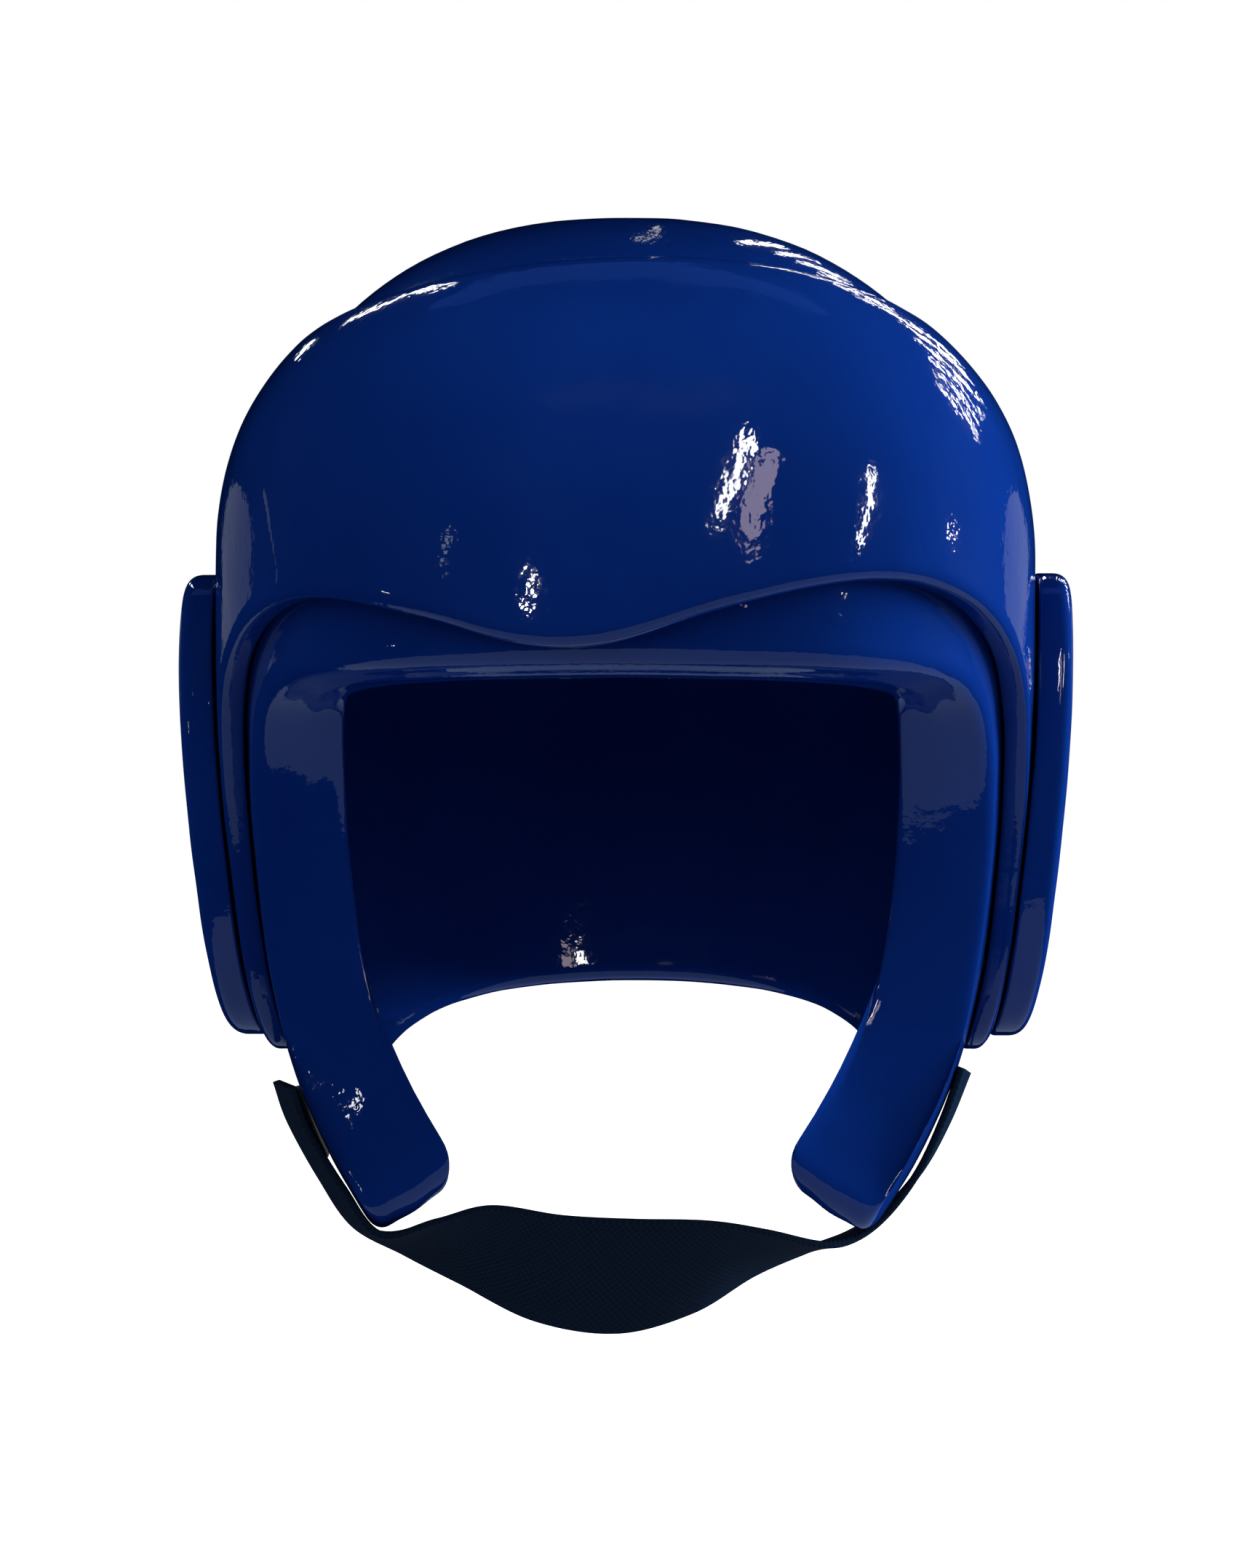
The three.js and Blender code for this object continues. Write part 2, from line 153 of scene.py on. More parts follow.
def layer_point(layer, azimuth, rise, lift=0.0):
    """Point of a domed layer, lifted outwards: in plan a superellipse of plan_power with the layer's reach
    at that height, and above the widest level a dome whose height and width are the sine and cosine of
    rise / DOME_ARC to the power 2 / dome_power."""
    climb = np.clip(rise / DOME_ARC, 0, np.pi / 2)
    power = 2 / layer["dome_power"]
    z = WIDEST_Z + np.minimum(rise, 0) + (dome_top(layer, azimuth) + lift - WIDEST_Z) * np.sin(climb) ** power
    side = reach_at(layer["side"], z) + lift
    ahead = np.where(np.cos(azimuth) > 0, reach_at(layer["front"], z), reach_at(layer["back"], z)) + lift
    n = layer["plan_power"]
    radius = (np.abs(np.sin(azimuth) / side) ** n + np.abs(np.cos(azimuth) / ahead) ** n) ** (-1 / n)
    radius = radius * np.cos(climb) ** power
    return np.stack([radius * np.sin(azimuth), -radius * np.cos(azimuth), z], axis=-1)


def stretch(layer, start, end, shares, lift=0.0):
    """Points of a layer at shares of the way between two columns of (azimuth, rise) places, straight in both."""
    azimuth, rise = (a[:, None] + (b - a)[:, None] * shares for a, b in zip(start, end))
    return layer_point(layer, azimuth, rise, lift)


def shares_between(start, end, steps, short_start, short_end):
    """Even shares of a stretch, left short at either end by the given lengths."""
    length = np.hypot((end[0] - start[0]) * DOME_ARC, end[1] - start[1])
    first, last = short_start / length, 1 - short_end / length
    return first[:, None] + (last - first)[:, None] * np.linspace(0, 1, steps)


def corner_arc(before, corner, after, steps):
    """Rounded corner without its ends: the quadratic Bezier curve from before to after with its handle at
    corner."""
    t = np.linspace(0, 1, steps + 2)[1:-1, None]
    before, corner, after = (p[:, None] for p in (before, corner, after))
    return before * (1 - t) ** 2 + 2 * corner * t * (1 - t) + after * t * t


def wall_edge(outside, outer_corner, inner_corner, inside, roundings, steps, puff=0.0):
    """Edge of a wall from its outside to its inside: an arc at each corner and between them a straight rim that
    swells outwards by puff times the square of the sine across it."""
    width = np.linalg.norm(outer_corner - inner_corner, axis=1)[:, None]
    outer_share, inner_share = (np.minimum(r / width, ROUNDING_SHARE) for r in roundings)
    near_outer = outer_corner + (inner_corner - outer_corner) * outer_share
    near_inner = inner_corner + (outer_corner - inner_corner) * inner_share
    outward = outer_corner + inner_corner - outside - inside
    outward = outward / np.linalg.norm(outward, axis=1)[:, None]
    t = np.linspace(0, 1, steps[1])[:, None]
    rim = near_outer[:, None] + (near_inner - near_outer)[:, None] * t
    rim = rim + outward[:, None] * puff * np.sin(np.pi * t) ** 2
    first = corner_arc(outside, outer_corner, near_outer, steps[0])
    last = corner_arc(near_inner, inner_corner, inside, steps[2])
    return np.concatenate([first, rim, last], axis=1)


def closed_mesh(name, grid, poles=()):
    """Mesh object from profiles set side by side in a ring, given as grid[station, step]. Two poles close the
    ends of the profiles, and without them each profile closes on itself. Faces point outwards."""
    stations, steps = grid.shape[:2]
    points = np.vstack([grid.reshape(-1, 3), *poles])
    number = np.arange(stations * steps).reshape(stations, steps)
    beside = np.roll(number, -1, axis=0)
    if len(poles):
        a, b, c, d = number[:, :-1], beside[:, :-1], beside[:, 1:], number[:, 1:]
    else:
        a, b, c, d = number, beside, np.roll(beside, -1, axis=1), np.roll(number, -1, axis=1)
    quads = np.stack([a, b, c, d], axis=-1).reshape(-1, 4)
    corners = points[quads]
    volume = np.einsum("ij,ij->", corners[:, 0], np.cross(corners[:, 1], corners[:, 2]))
    volume += np.einsum("ij,ij->", corners[:, 0], np.cross(corners[:, 2], corners[:, 3]))
    faces = quads.tolist()
    if len(poles):
        first, last = stations * steps, stations * steps + 1
        faces += [[first, n, m] for m, n in zip(number[:, 0].tolist(), beside[:, 0].tolist())]
        faces += [[last, m, n] for m, n in zip(number[:, -1].tolist(), beside[:, -1].tolist())]
    if volume < 0:
        faces = [face[::-1] for face in faces]
    mesh = bpy.data.meshes.new(name)
    mesh.from_pydata((points * MM).tolist(), [], faces)
    mesh.shade_smooth()
    piece = bpy.data.objects.new(name, mesh)
    bpy.context.scene.collection.objects.link(piece)
    return piece


def points_and_normals(piece):
    """Places of a mesh piece's points and their normals, both as rows of x, y and z."""
    both = np.empty((2, len(piece.data.vertices) * 3))
    piece.data.vertices.foreach_get("co", both[0])
    piece.data.vertex_normals.foreach_get("vector", both[1])
    return both.reshape(2, -1, 3)


def foam_unevenness(piece, seed, wavelengths=(8.0, 26.0), waves=60, slope=0.013):
    """Moves a piece's points along their normals by a sum of plane waves with seeded directions, lengths and
    phases. Each wave's height is slope * wavelength / (2 pi), shared out by the root of half their number."""
    draw = np.random.default_rng(seed)
    heading = draw.normal(size=(waves, 3))
    heading /= np.linalg.norm(heading, axis=1)[:, None]
    length = draw.uniform(*wavelengths, waves)
    phase = draw.uniform(0, 2 * np.pi, waves)
    places, normals = points_and_normals(piece)
    turn = places / MM @ (heading * (2 * np.pi / length)[:, None]).T + phase
    height = np.sin(turn) @ (slope * length / (2 * np.pi)) / np.sqrt(waves / 2)
    piece.data.vertices.foreach_set("co", (places + normals * height[:, None] * MM).ravel())
    piece.data.update()


def add_node(tree, kind, inputs=(), **settings):
    """Shader node with its settings, and its sockets set to values or joined to other nodes' outputs."""
    node = tree.nodes.new(kind)
    for key, value in settings.items():
        setattr(node, key, value)
    for key, value in dict(inputs).items():
        if isinstance(value, bpy.types.NodeSocket):
            tree.links.new(value, node.inputs[key])
        else:
            node.inputs[key].default_value = value
    return node


def new_material(name):
    """Empty node material, with its output node."""
    material = bpy.data.materials.new(name)
    material.use_nodes = True
    material.node_tree.nodes.clear()
    return material, material.node_tree, material.node_tree.nodes.new("ShaderNodeOutputMaterial")


def dipped_vinyl():
    """Glossy vinyl dip: blue that is deeper where the dip is thicker, a clear gloss with slight haze, and the
    fine orange peel of a coat that dried on foam."""
    material, tree, output = new_material("blue_vinyl_dip")
    place = add_node(tree, "ShaderNodeTexCoord").outputs["Object"]
    thickness = add_node(tree, "ShaderNodeTexNoise", {"Vector": place, "Scale": 28.0, "Detail": 3.0})
    colour = add_node(tree, "ShaderNodeMix", {"Factor": thickness.outputs["Fac"]}, data_type="RGBA")
    colour.inputs["A"].default_value = (*DEEP_BLUE, 1)
    colour.inputs["B"].default_value = (*BLUE, 1)
    haze = add_node(tree, "ShaderNodeTexNoise", {"Vector": place, "Scale": 70.0, "Detail": 4.0})
    rough = add_node(tree, "ShaderNodeMapRange", {
        "Value": haze.outputs["Fac"], "From Min": 0.3, "From Max": 0.7, "To Min": 0.03, "To Max": 0.07,
    })
    peel = add_node(tree, "ShaderNodeTexNoise", {
        "Vector": place, "Scale": 340.0, "Detail": 2.0, "Roughness": 0.5,
    })
    bump = add_node(tree, "ShaderNodeBump", {
        "Height": peel.outputs["Fac"], "Strength": 1.0, "Distance": 0.00008,
    })
    shader = add_node(tree, "ShaderNodeBsdfPrincipled", {
        "Base Color": colour.outputs["Result"], "Roughness": rough.outputs["Result"],
        "Normal": bump.outputs["Normal"], "IOR": 1.5,
    })
    tree.links.new(shader.outputs["BSDF"], output.inputs["Surface"])
    return material


def shell_flank(layer, azimuth, z, crown, steps):
    """Points up one side of the shell, from a rounding's length above its edge over the widest level to the
    crown, and the sharp corner at the edge."""
    edge = azimuth, rise_at(layer, azimuth, z)
    shoulder = crown, np.zeros_like(crown)
    top = crown, np.full_like(crown, DOME_ARC * np.pi / 2)
    lower = stretch(layer, edge, shoulder, shares_between(edge, shoulder, steps[0], SHELL_ROUNDING, 0))
    upper = stretch(layer, shoulder, top, np.linspace(0, 1, steps[1] + 2)[1:-1])
    return np.concatenate([lower, upper], axis=1), layer_point(layer, *edge)


outer_az, outer_z, inner_az, inner_z, crown_az = stations_round(SHELL_EDGE, SHELL_EDGE_IS_AZIMUTH, SHELL_STATIONS)
outside, outer_corner = shell_flank(SHELL, outer_az, outer_z, crown_az, SHELL_OUTSIDE_STEPS)
inside, inner_corner = shell_flank(HOLLOW, inner_az, inner_z, crown_az, SHELL_INSIDE_STEPS)
rim = wall_edge(
    outside[:, 0], outer_corner, inner_corner, inside[:, 0], (SHELL_ROUNDING, SHELL_ROUNDING),
    (CORNER_STEPS, RIM_STEPS, CORNER_STEPS), RIM_PUFF,
)
inner_shell = closed_mesh(
    "foam_inner_shell",
    np.concatenate([outside[:, ::-1], rim, inside], axis=1),
    ([0, 0, SHELL["top_front"]], [0, 0, HOLLOW["top_front"]]),
)
foam_unevenness(inner_shell, seed=3)
vinyl = dipped_vinyl()
inner_shell.data.materials.append(vinyl)
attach(inner_shell, "root")
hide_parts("inner_shell")

# Outer band: a second layer of the same foam round the shell, under the same dip. Its lower edge is a gull wing
# over the brow bar and runs down in front of the ear pads, with a broad rounding that catches the light. It is
# bonded on the shell a little askew, and has one faint crease on its left.
BAND = {
    "top_front": 8.5,
    "top_side": -0.5,
    "dome_power": 2.5,
    "plan_power": 2.4,
    "side": [97.5, 97.5, 96.5, 94, 90.5, 84.5, 76.5, 65.5],
    "front": [120, 120, 119.5, 118, 115, 112, 108, 104],
    "back": [120, 120, 119, 115.5, 111, 106, 103, 100],
}
BAND_EDGE_IS_AZIMUTH = np.array([True, False, True])
BAND_EDGE = np.array([  # azimuth and height of the lower edge, azimuth at the upper edge
    [0, -95.2, 0],
    [4, -94.5, 4],
    [8, -92.6, 8],
    [16, -87.6, 15],
    [27, -82.8, 25.5],
    [36, -82, 33],
    [45, -85.4, 41],
    [53, -91.5, 49.5],
    [60, -99.5, 58],
    [65.5, -111, 66],
    [70, -129, 75],
    [73, -152, 86],
    [75.5, -174, 95],
    [82, -186, 103],
    [94, -188, 111],
    [108, -184.5, 119],
    [122, -178, 128.5],
    [136, -169.5, 139],
    [150, -162.5, 152],
    [165, -158, 166],
    [180, -157, 180],
], float)
BAND_TOP_FRONT_Z = -8.0
BAND_TOP_SIDE_Z = -23.0
BAND_TURN = -4.5
BAND_LEAN = 1.8
BOND_GAP = 0.7
BAND_TOP_ROUNDING = 3.0
BAND_ROUNDING = 4.5
UNDERSIDE_ROUNDING = 1.2
BAND_STATIONS = 260
BAND_OUTSIDE_STEPS = 96
BAND_BONDED_STEPS = 16
CREASE = np.array([  # x, y and z of the points along it
    [-79.2, -79.9, -60],
    [-78.3, -82, -63.5],
    [-77, -84.5, -70],
    [-75.7, -86.5, -76.5],
    [-75.2, -85.5, -82],
])
CREASE_HALF_WIDTH = 1.2
CREASE_DEPTH = 0.5


def set_askew(lower_az, lower_z, upper_az):
    """Rows of the band as it is bonded on, with the height of its upper edge: that edge drops from its front
    height to its side height by sin(azimuth) ** 2. At the front the band is turned by
    BAND_TURN * cos(azimuth) ** 2 and raised on the right by BAND_LEAN * sin(2 azimuth)."""
    lower_ahead, upper_ahead = (np.maximum(np.cos(azimuth), 0) for azimuth in (lower_az, upper_az))
    turned = lower_az + np.radians(BAND_TURN) * lower_ahead ** 2
    raised = lower_z + 2 * BAND_LEAN * np.sin(lower_az) * lower_ahead
    upper_z = BAND_TOP_FRONT_Z + (BAND_TOP_SIDE_Z - BAND_TOP_FRONT_Z) * np.sin(upper_az) ** 2
    return turned, raised, upper_az, upper_z + 2 * BAND_LEAN * np.sin(upper_az) * upper_ahead


def band_face(layer, lower_az, lower_z, upper_az, upper_z, steps, roundings, lift):
    """Points up one face of the band, short of its lower and upper edge by their roundings, and its two sharp
    corners."""
    lower = lower_az, rise_at(layer, lower_az, lower_z)
    upper = upper_az, rise_at(layer, upper_az, upper_z)
    face = stretch(layer, lower, upper, shares_between(lower, upper, steps, *roundings), lift)
    return face, layer_point(layer, *lower, lift), layer_point(layer, *upper, lift)


def press_crease(piece):
    """Presses a crease into a piece along a broken line: points move inwards along their normals by
    CREASE_DEPTH * exp(-(distance / CREASE_HALF_WIDTH) ** 2)."""
    places, normals = points_and_normals(piece)
    places = places / MM
    nearest = np.full(len(places), np.inf)
    for start, end in zip(CREASE[:-1], CREASE[1:]):
        along = end - start
        share = np.clip((places - start) @ along / (along @ along), 0, 1)
        nearest = np.minimum(nearest, np.linalg.norm(places - start - share[:, None] * along, axis=1))
    depth = CREASE_DEPTH * np.exp(-(nearest / CREASE_HALF_WIDTH) ** 2)
    piece.data.vertices.foreach_set("co", ((places - normals * depth[:, None]) * MM).ravel())
    piece.data.update()


band_rows = set_askew(*stations_round(BAND_EDGE, BAND_EDGE_IS_AZIMUTH, BAND_STATIONS))
face, lower_corner, upper_corner = band_face(
    BAND, *band_rows, BAND_OUTSIDE_STEPS, (BAND_ROUNDING, BAND_TOP_ROUNDING), 0,
)
bonded, lower_bonded, upper_bonded = band_face(
    SHELL, *band_rows, BAND_BONDED_STEPS, (UNDERSIDE_ROUNDING, UNDERSIDE_ROUNDING), BOND_GAP,
)
edge_steps = (CORNER_STEPS, RIM_STEPS // 2, CORNER_STEPS // 2)
upper_edge = wall_edge(
    face[:, -1], upper_corner, upper_bonded, bonded[:, -1], (BAND_TOP_ROUNDING, UNDERSIDE_ROUNDING), edge_steps,
)
lower_edge = wall_edge(
    face[:, 0], lower_corner, lower_bonded, bonded[:, 0], (BAND_ROUNDING, UNDERSIDE_ROUNDING), edge_steps,
)
outer_band = closed_mesh(
    "foam_outer_band",
    np.concatenate([face, upper_edge, bonded[:, ::-1], lower_edge[:, ::-1]], axis=1),
)
foam_unevenness(outer_band, seed=8)
press_crease(outer_band)
outer_band.data.materials.append(vinyl)
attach(outer_band, "root")
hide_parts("outer_band")

# Ear pads: a rounded plate of foam on each side, narrower at its foot, under the same dip. Bonded on the band.
EAR_PAD = {
    "layer": BAND,
    "middle_y": 6.0,
    "middle_z": -129.0,
    "half_depth": 37.0,
    "half_height": 56.0,
    "corner_power": 2.9,
    "taper": 0.16,
    "thickness": 8.0,
    "rounding": 4.5,
}
EAR_PAD_RAYS = 180
EAR_PAD_RINGS = (34, 8)


def side_pad(name, pad, side, rays, rings):
    """Rounded plate on one side of a layer, side being 1 on the right. Its outline is a superellipse of
    corner_power in depth and height, whose depth grows with height by the taper. At (y, z) the layer stands
    out by its side reach times (1 - |y / reach ahead| ** plan_power) ** (1 / plan_power)."""
    layer = pad["layer"]
    angle = np.linspace(0, 2 * np.pi, rays, endpoint=False)
    n = pad["corner_power"]
    wide = np.abs(np.cos(angle) / pad["half_depth"]) ** n + np.abs(np.sin(angle) / pad["half_height"]) ** n
    radius = wide ** (-1 / n)
    height = radius * np.sin(angle)
    depth = radius * np.cos(angle) * (1 + pad["taper"] * height / pad["half_height"])

    def on_layer(share, lift):
        y = pad["middle_y"] + depth[:, None] * share
        z = pad["middle_z"] + height[:, None] * share
        ahead = np.where(y < 0, reach_at(layer["front"], z), reach_at(layer["back"], z)) + lift
        across = (1 - np.abs(y / ahead) ** layer["plan_power"]) ** (1 / layer["plan_power"])
        return np.stack([side * (reach_at(layer["side"], z) + lift) * across, y, z], axis=-1)

    top_lift = BOND_GAP + pad["thickness"]
    under = min(pad["rounding"], UNDERSIDE_ROUNDING)
    top_shares, under_shares = (
        np.linspace(0, 1, count + 1)[1:] * (1 - short / radius)[:, None]
        for count, short in zip(rings, (pad["rounding"], under))
    )
    top, bonded_side = on_layer(top_shares, top_lift), on_layer(under_shares, BOND_GAP)
    edge = wall_edge(
        top[:, -1], on_layer(1, top_lift)[:, 0], on_layer(1, BOND_GAP)[:, 0], bonded_side[:, -1],
        (pad["rounding"], UNDERSIDE_ROUNDING), edge_steps,
    )
    poles = on_layer(0, top_lift)[0], on_layer(0, BOND_GAP)[0]
    return closed_mesh(name, np.concatenate([top, edge, bonded_side[:, ::-1]], axis=1), poles)


for hand, side in (("left", -1), ("right", 1)):
    ear_pad = side_pad(f"foam_ear_pad_{hand}", EAR_PAD, side, EAR_PAD_RAYS, EAR_PAD_RINGS)
    foam_unevenness(ear_pad, seed=14 + side)
    ear_pad.data.materials.append(vinyl)
    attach(ear_pad, "root")
    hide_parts(f"ear_pad_{hand}")

# Strap fastener: a patch of hook-and-loop tape bonded on the left cheek, under the strap's free end. The strap
# hides it but for its edge.
FASTENER = {
    "layer": SHELL,
    "middle_y": -21.0,
    "middle_z": -204.0,
    "half_depth": 12.0,
    "half_height": 8.0,
    "corner_power": 5.0,
    "taper": 0.0,
    "thickness": 1.0,
    "rounding": 0.5,
}
FASTENER_RAYS = 96
FASTENER_RINGS = (14, 6)
TAPE_BLACK = (0.006, 0.007, 0.010)
TAPE_GREY = (0.018, 0.021, 0.030)


def looped_tape():
    """Napped loop tape: near-black nylon, dull, with a sheen from the loops that stand up all over it."""
    material, tree, output = new_material("loop_tape")
    place = add_node(tree, "ShaderNodeTexCoord").outputs["Object"]
    nap = add_node(tree, "ShaderNodeTexNoise", {"Vector": place, "Scale": 1800.0, "Detail": 4.0})
    shade = add_node(tree, "ShaderNodeMix", {"Factor": nap.outputs["Fac"]}, data_type="RGBA")
    shade.inputs["A"].default_value = (*TAPE_BLACK, 1)
    shade.inputs["B"].default_value = (*TAPE_GREY, 1)
    bump = add_node(tree, "ShaderNodeBump", {"Height": nap.outputs["Fac"], "Distance": 0.0006})
    shader = add_node(tree, "ShaderNodeBsdfPrincipled", {
        "Base Color": shade.outputs["Result"], "Roughness": 0.95, "Sheen Weight": 0.3,
        "Normal": bump.outputs["Normal"],
    })
    tree.links.new(shader.outputs["BSDF"], output.inputs["Surface"])
    return material


fastener = side_pad("loop_tape_patch", FASTENER, -1, FASTENER_RAYS, FASTENER_RINGS)
fastener.data.materials.append(looped_tape())
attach(fastener, "root")
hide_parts("strap_fastener")

# Chin strap: one length of wide black elastic webbing, slung from cheek to cheek. Rubber threads run along it as
# ribs under a close weave. Its right end is fixed on the cheek, its left end grips the tape.
STRAP_WIDTH = 38.0
STRAP_THICKNESS = 1.8
STRAP_PATH = np.array([  # middle of the webbing, then how its width turns from straight back: swing and dip
    [-80.5, -24.5, -195, -13, 2],
    [-77, -25.5, -204.5, -13, 2],
    [-68.7, -31, -217.3, -14, 2],
    [-59.8, -36, -227.9, -15, 3],
    [-47, -40, -229.2, -17, 18],
    [-34, -44, -230.5, -17, 34],
    [-17, -48, -235.4, -16, 46],
    [1, -49.5, -237, -12, 50],
    [18, -48, -235, -8, 40],
    [32, -42, -232.5, -6, 22],
    [44.5, -33.5, -232, -4, 9],
    [53.5, -26.5, -230.2, 0, 5],
    [61.7, -21.5, -225.1, 2, 5],
    [69.8, -19, -215.4, 4, 5],
    [75.8, -18, -203.8, 5, 6],
    [80.5, -17, -191.8, 6, 6],
], float)
STRAP_STEPS = 250
STRAP_RIBS = 36
RIB_STEPS = 4
RIB_HEIGHT = 0.07
SELVEDGE_STEPS = 5
WEBBING_BLACK = (0.0013, 0.0058, 0.0185)
WEBBING_PALE = (0.004, 0.015, 0.040)
PICK_PITCH = 0.8


def strap_surface():
    """Webbing along its path: at each step a flat section with ribs along it, which stand out by
    RIB_HEIGHT * cos(2 pi ribs * share across), and half-round selvedges. Also returns the length so far at each
    step and the place across the width at each point of the section."""
    beyond = 2 * STRAP_PATH[0] - STRAP_PATH[1], 2 * STRAP_PATH[-1] - STRAP_PATH[-2]
    rows = smooth_rows(STRAP_PATH, *beyond, STRAP_STEPS)
    middle, swing, dip = rows[:, :3], np.radians(rows[:, 3]), np.radians(rows[:, 4])
    rearward = np.stack([np.cos(dip) * np.sin(swing), np.cos(dip) * np.cos(swing), -np.sin(dip)], axis=-1)
    outward = np.cross(np.gradient(middle, axis=0), rearward)
    outward /= np.linalg.norm(outward, axis=1)[:, None]
    half = STRAP_THICKNESS / 2
    across = np.linspace(-1, 1, STRAP_RIBS * RIB_STEPS + 1)
    flat = across * (STRAP_WIDTH / 2 - half)
    rib = half - RIB_HEIGHT * (1 - np.cos(np.pi * STRAP_RIBS * (across + 1)))
    round_end = np.linspace(np.pi / 2, -np.pi / 2, SELVEDGE_STEPS + 2)[1:-1]
    end_back, end_out = half * np.cos(round_end), half * np.sin(round_end)
    back = np.concatenate([flat, flat[-1] + end_back, flat[::-1], flat[0] - end_back])
    out = np.concatenate([rib, end_out, -rib[::-1], -end_out])
    grid = middle[:, None] + rearward[:, None] * back[:, None] + outward[:, None] * out[:, None]
    length = np.concatenate([[0], np.cumsum(np.linalg.norm(np.diff(middle, axis=0), axis=1))])
    return grid, middle, length, back


def elastic_webbing():
    """Woven elastic: near-black yarn over rubber threads. On the strap's own map, in metres across and along it,
    the weave is the product of a sine across each rib and a sine along each pick, half a step out in turn."""
    material, tree, output = new_material("black_elastic_webbing")
    strap_map = add_node(tree, "ShaderNodeUVMap", uv_map="webbing").outputs["UV"]
    parts = add_node(tree, "ShaderNodeSeparateXYZ", {"Vector": strap_map})
    ribs = add_node(tree, "ShaderNodeMath", {
        0: parts.outputs["X"], 1: np.pi * STRAP_RIBS / (STRAP_WIDTH * MM),
    }, operation="MULTIPLY")
    picks = add_node(tree, "ShaderNodeMath", {
        0: parts.outputs["Y"], 1: np.pi / (PICK_PITCH * MM),
    }, operation="MULTIPLY")
    rib_wave = add_node(tree, "ShaderNodeMath", {0: ribs.outputs[0]}, operation="SINE")
    pick_wave = add_node(tree, "ShaderNodeMath", {0: picks.outputs[0]}, operation="SINE")
    weave = add_node(tree, "ShaderNodeMath", {
        0: rib_wave.outputs[0], 1: pick_wave.outputs[0],
    }, operation="MULTIPLY")
    place = add_node(tree, "ShaderNodeTexCoord").outputs["Object"]
    lint = add_node(tree, "ShaderNodeTexNoise", {"Vector": place, "Scale": 900.0, "Detail": 3.0})
    height = add_node(tree, "ShaderNodeMath", {
        0: lint.outputs["Fac"], 1: 0.6, 2: weave.outputs[0],
    }, operation="MULTIPLY_ADD")
    shade = add_node(tree, "ShaderNodeMapRange", {"Value": height.outputs[0], "From Min": -0.8, "From Max": 1.6})
    # The colour runs from near-black to paler where the weave and the lint stand higher.
    colour = add_node(tree, "ShaderNodeMix", {"Factor": shade.outputs["Result"]}, data_type="RGBA")
    colour.inputs["A"].default_value = (*WEBBING_BLACK, 1)
    colour.inputs["B"].default_value = (*WEBBING_PALE, 1)
    bump = add_node(tree, "ShaderNodeBump", {"Height": height.outputs[0], "Distance": 0.00008})
    shader = add_node(tree, "ShaderNodeBsdfPrincipled", {
        "Base Color": colour.outputs["Result"], "Roughness": 0.8, "Specular IOR Level": 0.1,
        "Normal": bump.outputs["Normal"],
    })
    tree.links.new(shader.outputs["BSDF"], output.inputs["Surface"])
    return material


strap_grid, strap_middle, strap_length, strap_back = strap_surface()
chin_strap = closed_mesh("chin_strap_webbing", strap_grid.transpose(1, 0, 2), (strap_middle[0], strap_middle[-1]))
strap_map = chin_strap.data.uv_layers.new(name="webbing")
across_each = np.repeat(strap_back, STRAP_STEPS + 1)
along_each = np.tile(strap_length, len(strap_back))
ends_map = [[0, strap_length[0]], [0, strap_length[-1]]]
point_map = np.vstack([np.stack([across_each, along_each], axis=-1), ends_map]) * MM
loop_points = np.empty(len(chin_strap.data.loops), int)
chin_strap.data.loops.foreach_get("vertex_index", loop_points)
strap_map.data.foreach_set("uv", point_map[loop_points].ravel())
chin_strap.data.materials.append(elastic_webbing())
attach(chin_strap, "root")
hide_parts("chin_strap")

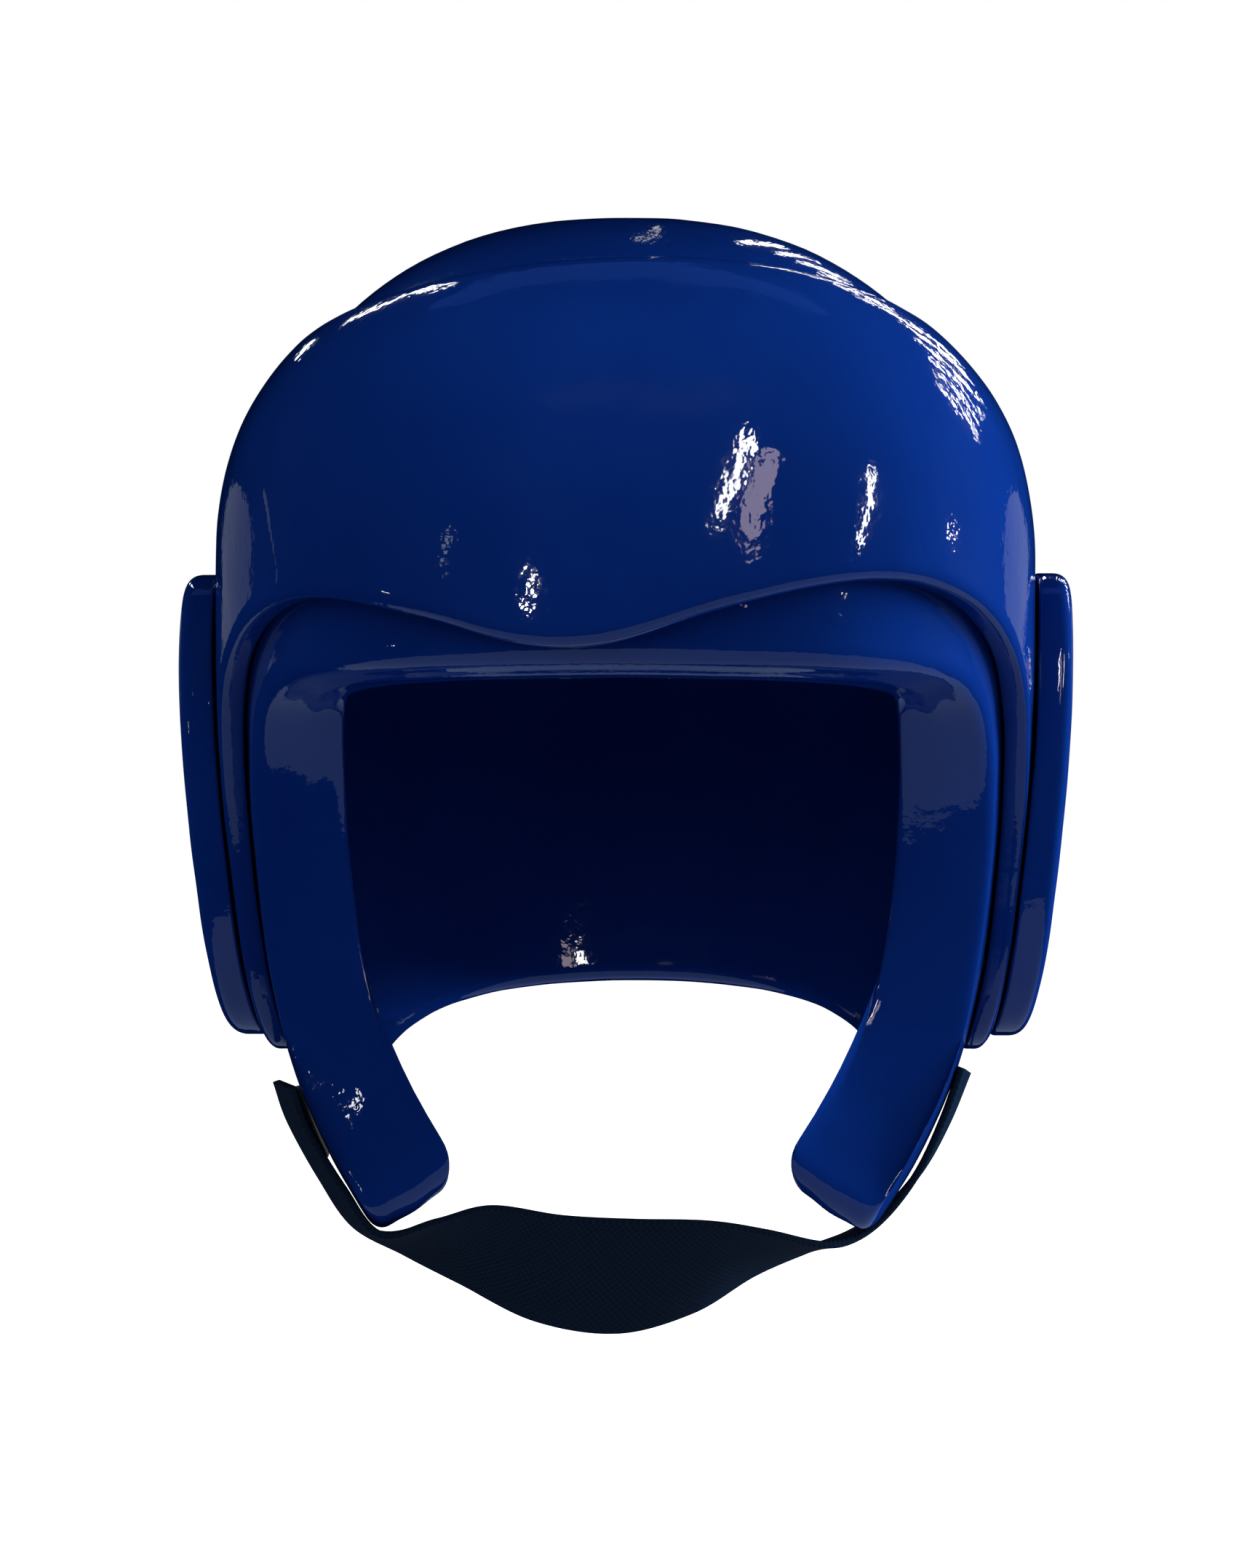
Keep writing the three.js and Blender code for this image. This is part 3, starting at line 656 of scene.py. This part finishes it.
# Studio: a plain pale floor well below the guard, which is held up as it is worn, a white surround, fill lamps
# that show only in the shading, and the lamps and cards that show in the gloss.
FLOOR_Z = -0.46
FLOOR_HALF = 30.0
CAMERA_DISTANCE = 0.9
CAMERA_YAW = np.radians(1.5)
CAMERA_Z = -0.124
CAMERA_LENS = 85.2
BACK_TUBES = (131, 137, 143, 149, 154.5, 159)
CROWN_TUBES = (158, 161.5, 165, 168.5, 172)
LAMPS = (  # name, azimuth, height, distance, size across and up, lean, radiance, colour, what it shows in
    ("right_fill", 116, 9, 2.2, (1.4, 1.4), 0, 26.0, (1, 1, 1), "shade"),
    ("front_fill", -12, 26, 2.2, (1.4, 1.4), 0, 1.4, (1, 1, 1), "shade"),
    ("forehead_fill", 6, 46, 0.205, (0.14, 0.04), 0, 5.6, (1, 1, 1), "shade"),
    ("left_fill", -120, 10, 2.2, (1.4, 1.4), 0, 3.6, (1, 1, 1), "shade"),
    ("streak_lamp", 24.5, 22, 1.5, (0.08, 0.80), 24, 28.0, (1, 1, 1), "gloss"),
    ("pink_card", 30.5, 17, 1.8, (0.22, 0.80), 20, 4.6, (1, 0.82, 0.92), "gloss"),
    ("right_strip_lamp", 62, 14.3, 0.33, (0.012, 0.10), 24, 32.0, (1, 1, 1), "both"),
    ("right_spot_lamp", 95.6, 10.8, 0.318, (0.006, 0.005), 0, 50.0, (1, 1, 1), "both"),
    ("left_spot_lamp", -15.2, 5.3, 0.322, (0.006, 0.006), 0, 110.0, (1, 1, 1), "both"),
    ("left_dim_lamp", -36.6, 8.7, 0.326, (0.008, 0.006), 0, 3.5, (0.8, 0.9, 1), "both"),
    ("left_low_lamp", -60, -3.5, 0.497, (0.014, 0.012), 0, 20.0, (1, 1, 1), "both"),
    *(
        (f"back_tube_{n}", azimuth, 25, 2.0, (0.036, 0.42), 0, 18.0, (1, 1, 1), "both")
        for n, azimuth in enumerate(BACK_TUBES)
    ),
    *(
        (f"crown_tube_{n}", azimuth, 31, 2.0, (0.016, 0.36), 0, 14.0, (1, 1, 1), "gloss")
        for n, azimuth in enumerate(CROWN_TUBES)
    ),
    ("back_left_tube", -151, 41, 2.0, (0.06, 0.74), 0, 10.0, (1, 1, 1), "both"),
    ("back_left_spot", -155, 22, 2.0, (0.10, 0.06), 0, 12.0, (1, 1, 1), "both"),
    ("back_mid_tube", 180, 39, 2.0, (0.010, 0.55), 0, 1.6, (1, 1, 1), "gloss"),
    ("band_edge_card", 180, 65, 2.0, (1.9, 0.5), 0, 0.3, (0.1, 0.25, 1), "gloss"),
    ("left_low_card", -140, 5, 2.0, (0.95, 0.36), 0, 0.20, (0.70, 0.80, 1), "both"),
    ("right_low_card", 145, 5, 2.0, (0.70, 0.32), 0, 0.32, (0.70, 0.80, 1), "both"),
    ("floor_card", 60, -84, 0.36, (1.0, 1.0), 0, 0.42, (0.62, 0.80, 1), "both"),
)
LAMP_AIM = np.array([0, -0.05, -0.10])
SURROUND_FILL = 0.15

floor_mesh = bpy.data.meshes.new("studio_floor")
floor_corners = np.array([[-1, -1], [1, -1], [1, 1], [-1, 1]]) * FLOOR_HALF
floor_mesh.from_pydata(np.column_stack([floor_corners, np.full(4, FLOOR_Z)]).tolist(), [], [[0, 1, 2, 3]])
floor = bpy.data.objects.new("studio_floor", floor_mesh)
bpy.context.scene.collection.objects.link(floor)
paper, paper_tree, paper_output = new_material("floor_paper")
paper_place = add_node(paper_tree, "ShaderNodeTexCoord").outputs["Object"]
paper_grain = add_node(paper_tree, "ShaderNodeTexNoise", {"Vector": paper_place, "Scale": 400.0})
paper_bump = add_node(paper_tree, "ShaderNodeBump", {"Height": paper_grain.outputs["Fac"], "Distance": 0.0001})
paper_shader = add_node(paper_tree, "ShaderNodeBsdfPrincipled", {
    "Base Color": (0.9, 0.9, 0.9, 1), "Roughness": 0.9, "Normal": paper_bump.outputs["Normal"],
    "Emission Color": (1, 1, 1, 1), "Emission Strength": 1.0,
})
paper_tree.links.new(paper_shader.outputs["BSDF"], paper_output.inputs["Surface"])
floor_mesh.materials.append(paper)
floor.visible_glossy = False
floor.visible_diffuse = False


def facing(place, aim):
    """Turn that points an object's own -Z from a place to an aim, with its Y upwards: its columns are the
    sideways, upwards and backwards directions."""
    back = np.array(place, float) - aim
    back /= np.linalg.norm(back)
    sideways = np.cross([0, 0, 1], back)
    sideways /= np.linalg.norm(sideways)
    turn = np.eye(4)
    turn[:3, :3] = np.stack([sideways, np.cross(back, sideways), back], axis=-1)
    turn[:3, 3] = place
    return Matrix(turn.tolist())


for name, azimuth, height, distance, size, lean, radiance, colour, shows_in in LAMPS:
    lamp = bpy.data.lights.new(name, "AREA")
    lamp.shape = "ELLIPSE"
    lamp.size, lamp.size_y = size
    lamp.energy = radiance * np.pi * (np.pi / 4 * size[0] * size[1])
    lamp.color = colour
    azimuth, height = np.radians([azimuth, height])
    level = np.array([np.sin(azimuth), -np.cos(azimuth), 0]) * np.cos(height)
    lamp_place = LAMP_AIM + distance * (level + [0, 0, np.sin(height)])
    lamp_object = bpy.data.objects.new(name, lamp)
    lamp_object.matrix_world = facing(lamp_place, LAMP_AIM) @ Matrix.Rotation(np.radians(-lean), 4, "Z")
    lamp_object.visible_glossy = shows_in != "shade"
    lamp_object.visible_diffuse = shows_in != "gloss"
    lamp_object.visible_camera = False
    bpy.context.scene.collection.objects.link(lamp_object)

surround = bpy.data.worlds.new("white_surround")
bpy.context.scene.world = surround
surround.use_nodes = True
surround.node_tree.nodes.clear()
sky = surround.node_tree
seen_directly = add_node(sky, "ShaderNodeLightPath").outputs["Is Camera Ray"]
plain = add_node(sky, "ShaderNodeBackground", {"Color": (1, 1, 1, 1), "Strength": 1.0})
lit = add_node(sky, "ShaderNodeBackground", {"Color": (1, 1, 1, 1), "Strength": SURROUND_FILL})
both = add_node(sky, "ShaderNodeMixShader", {0: seen_directly, 1: lit.outputs[0], 2: plain.outputs[0]})
sky.links.new(both.outputs[0], sky.nodes.new("ShaderNodeOutputWorld").inputs["Surface"])
surround.cycles_visibility.glossy = False

camera = bpy.data.objects.new("photo_camera", bpy.data.cameras.new("photo_camera"))
camera.data.lens = CAMERA_LENS
camera_place = (CAMERA_DISTANCE * np.sin(CAMERA_YAW), -CAMERA_DISTANCE * np.cos(CAMERA_YAW), CAMERA_Z)
camera.matrix_world = facing(camera_place, np.array([0, 0, CAMERA_Z]))
bpy.context.scene.collection.objects.link(camera)
bpy.context.scene.camera = camera
bpy.context.scene.view_settings.view_transform = "Standard"
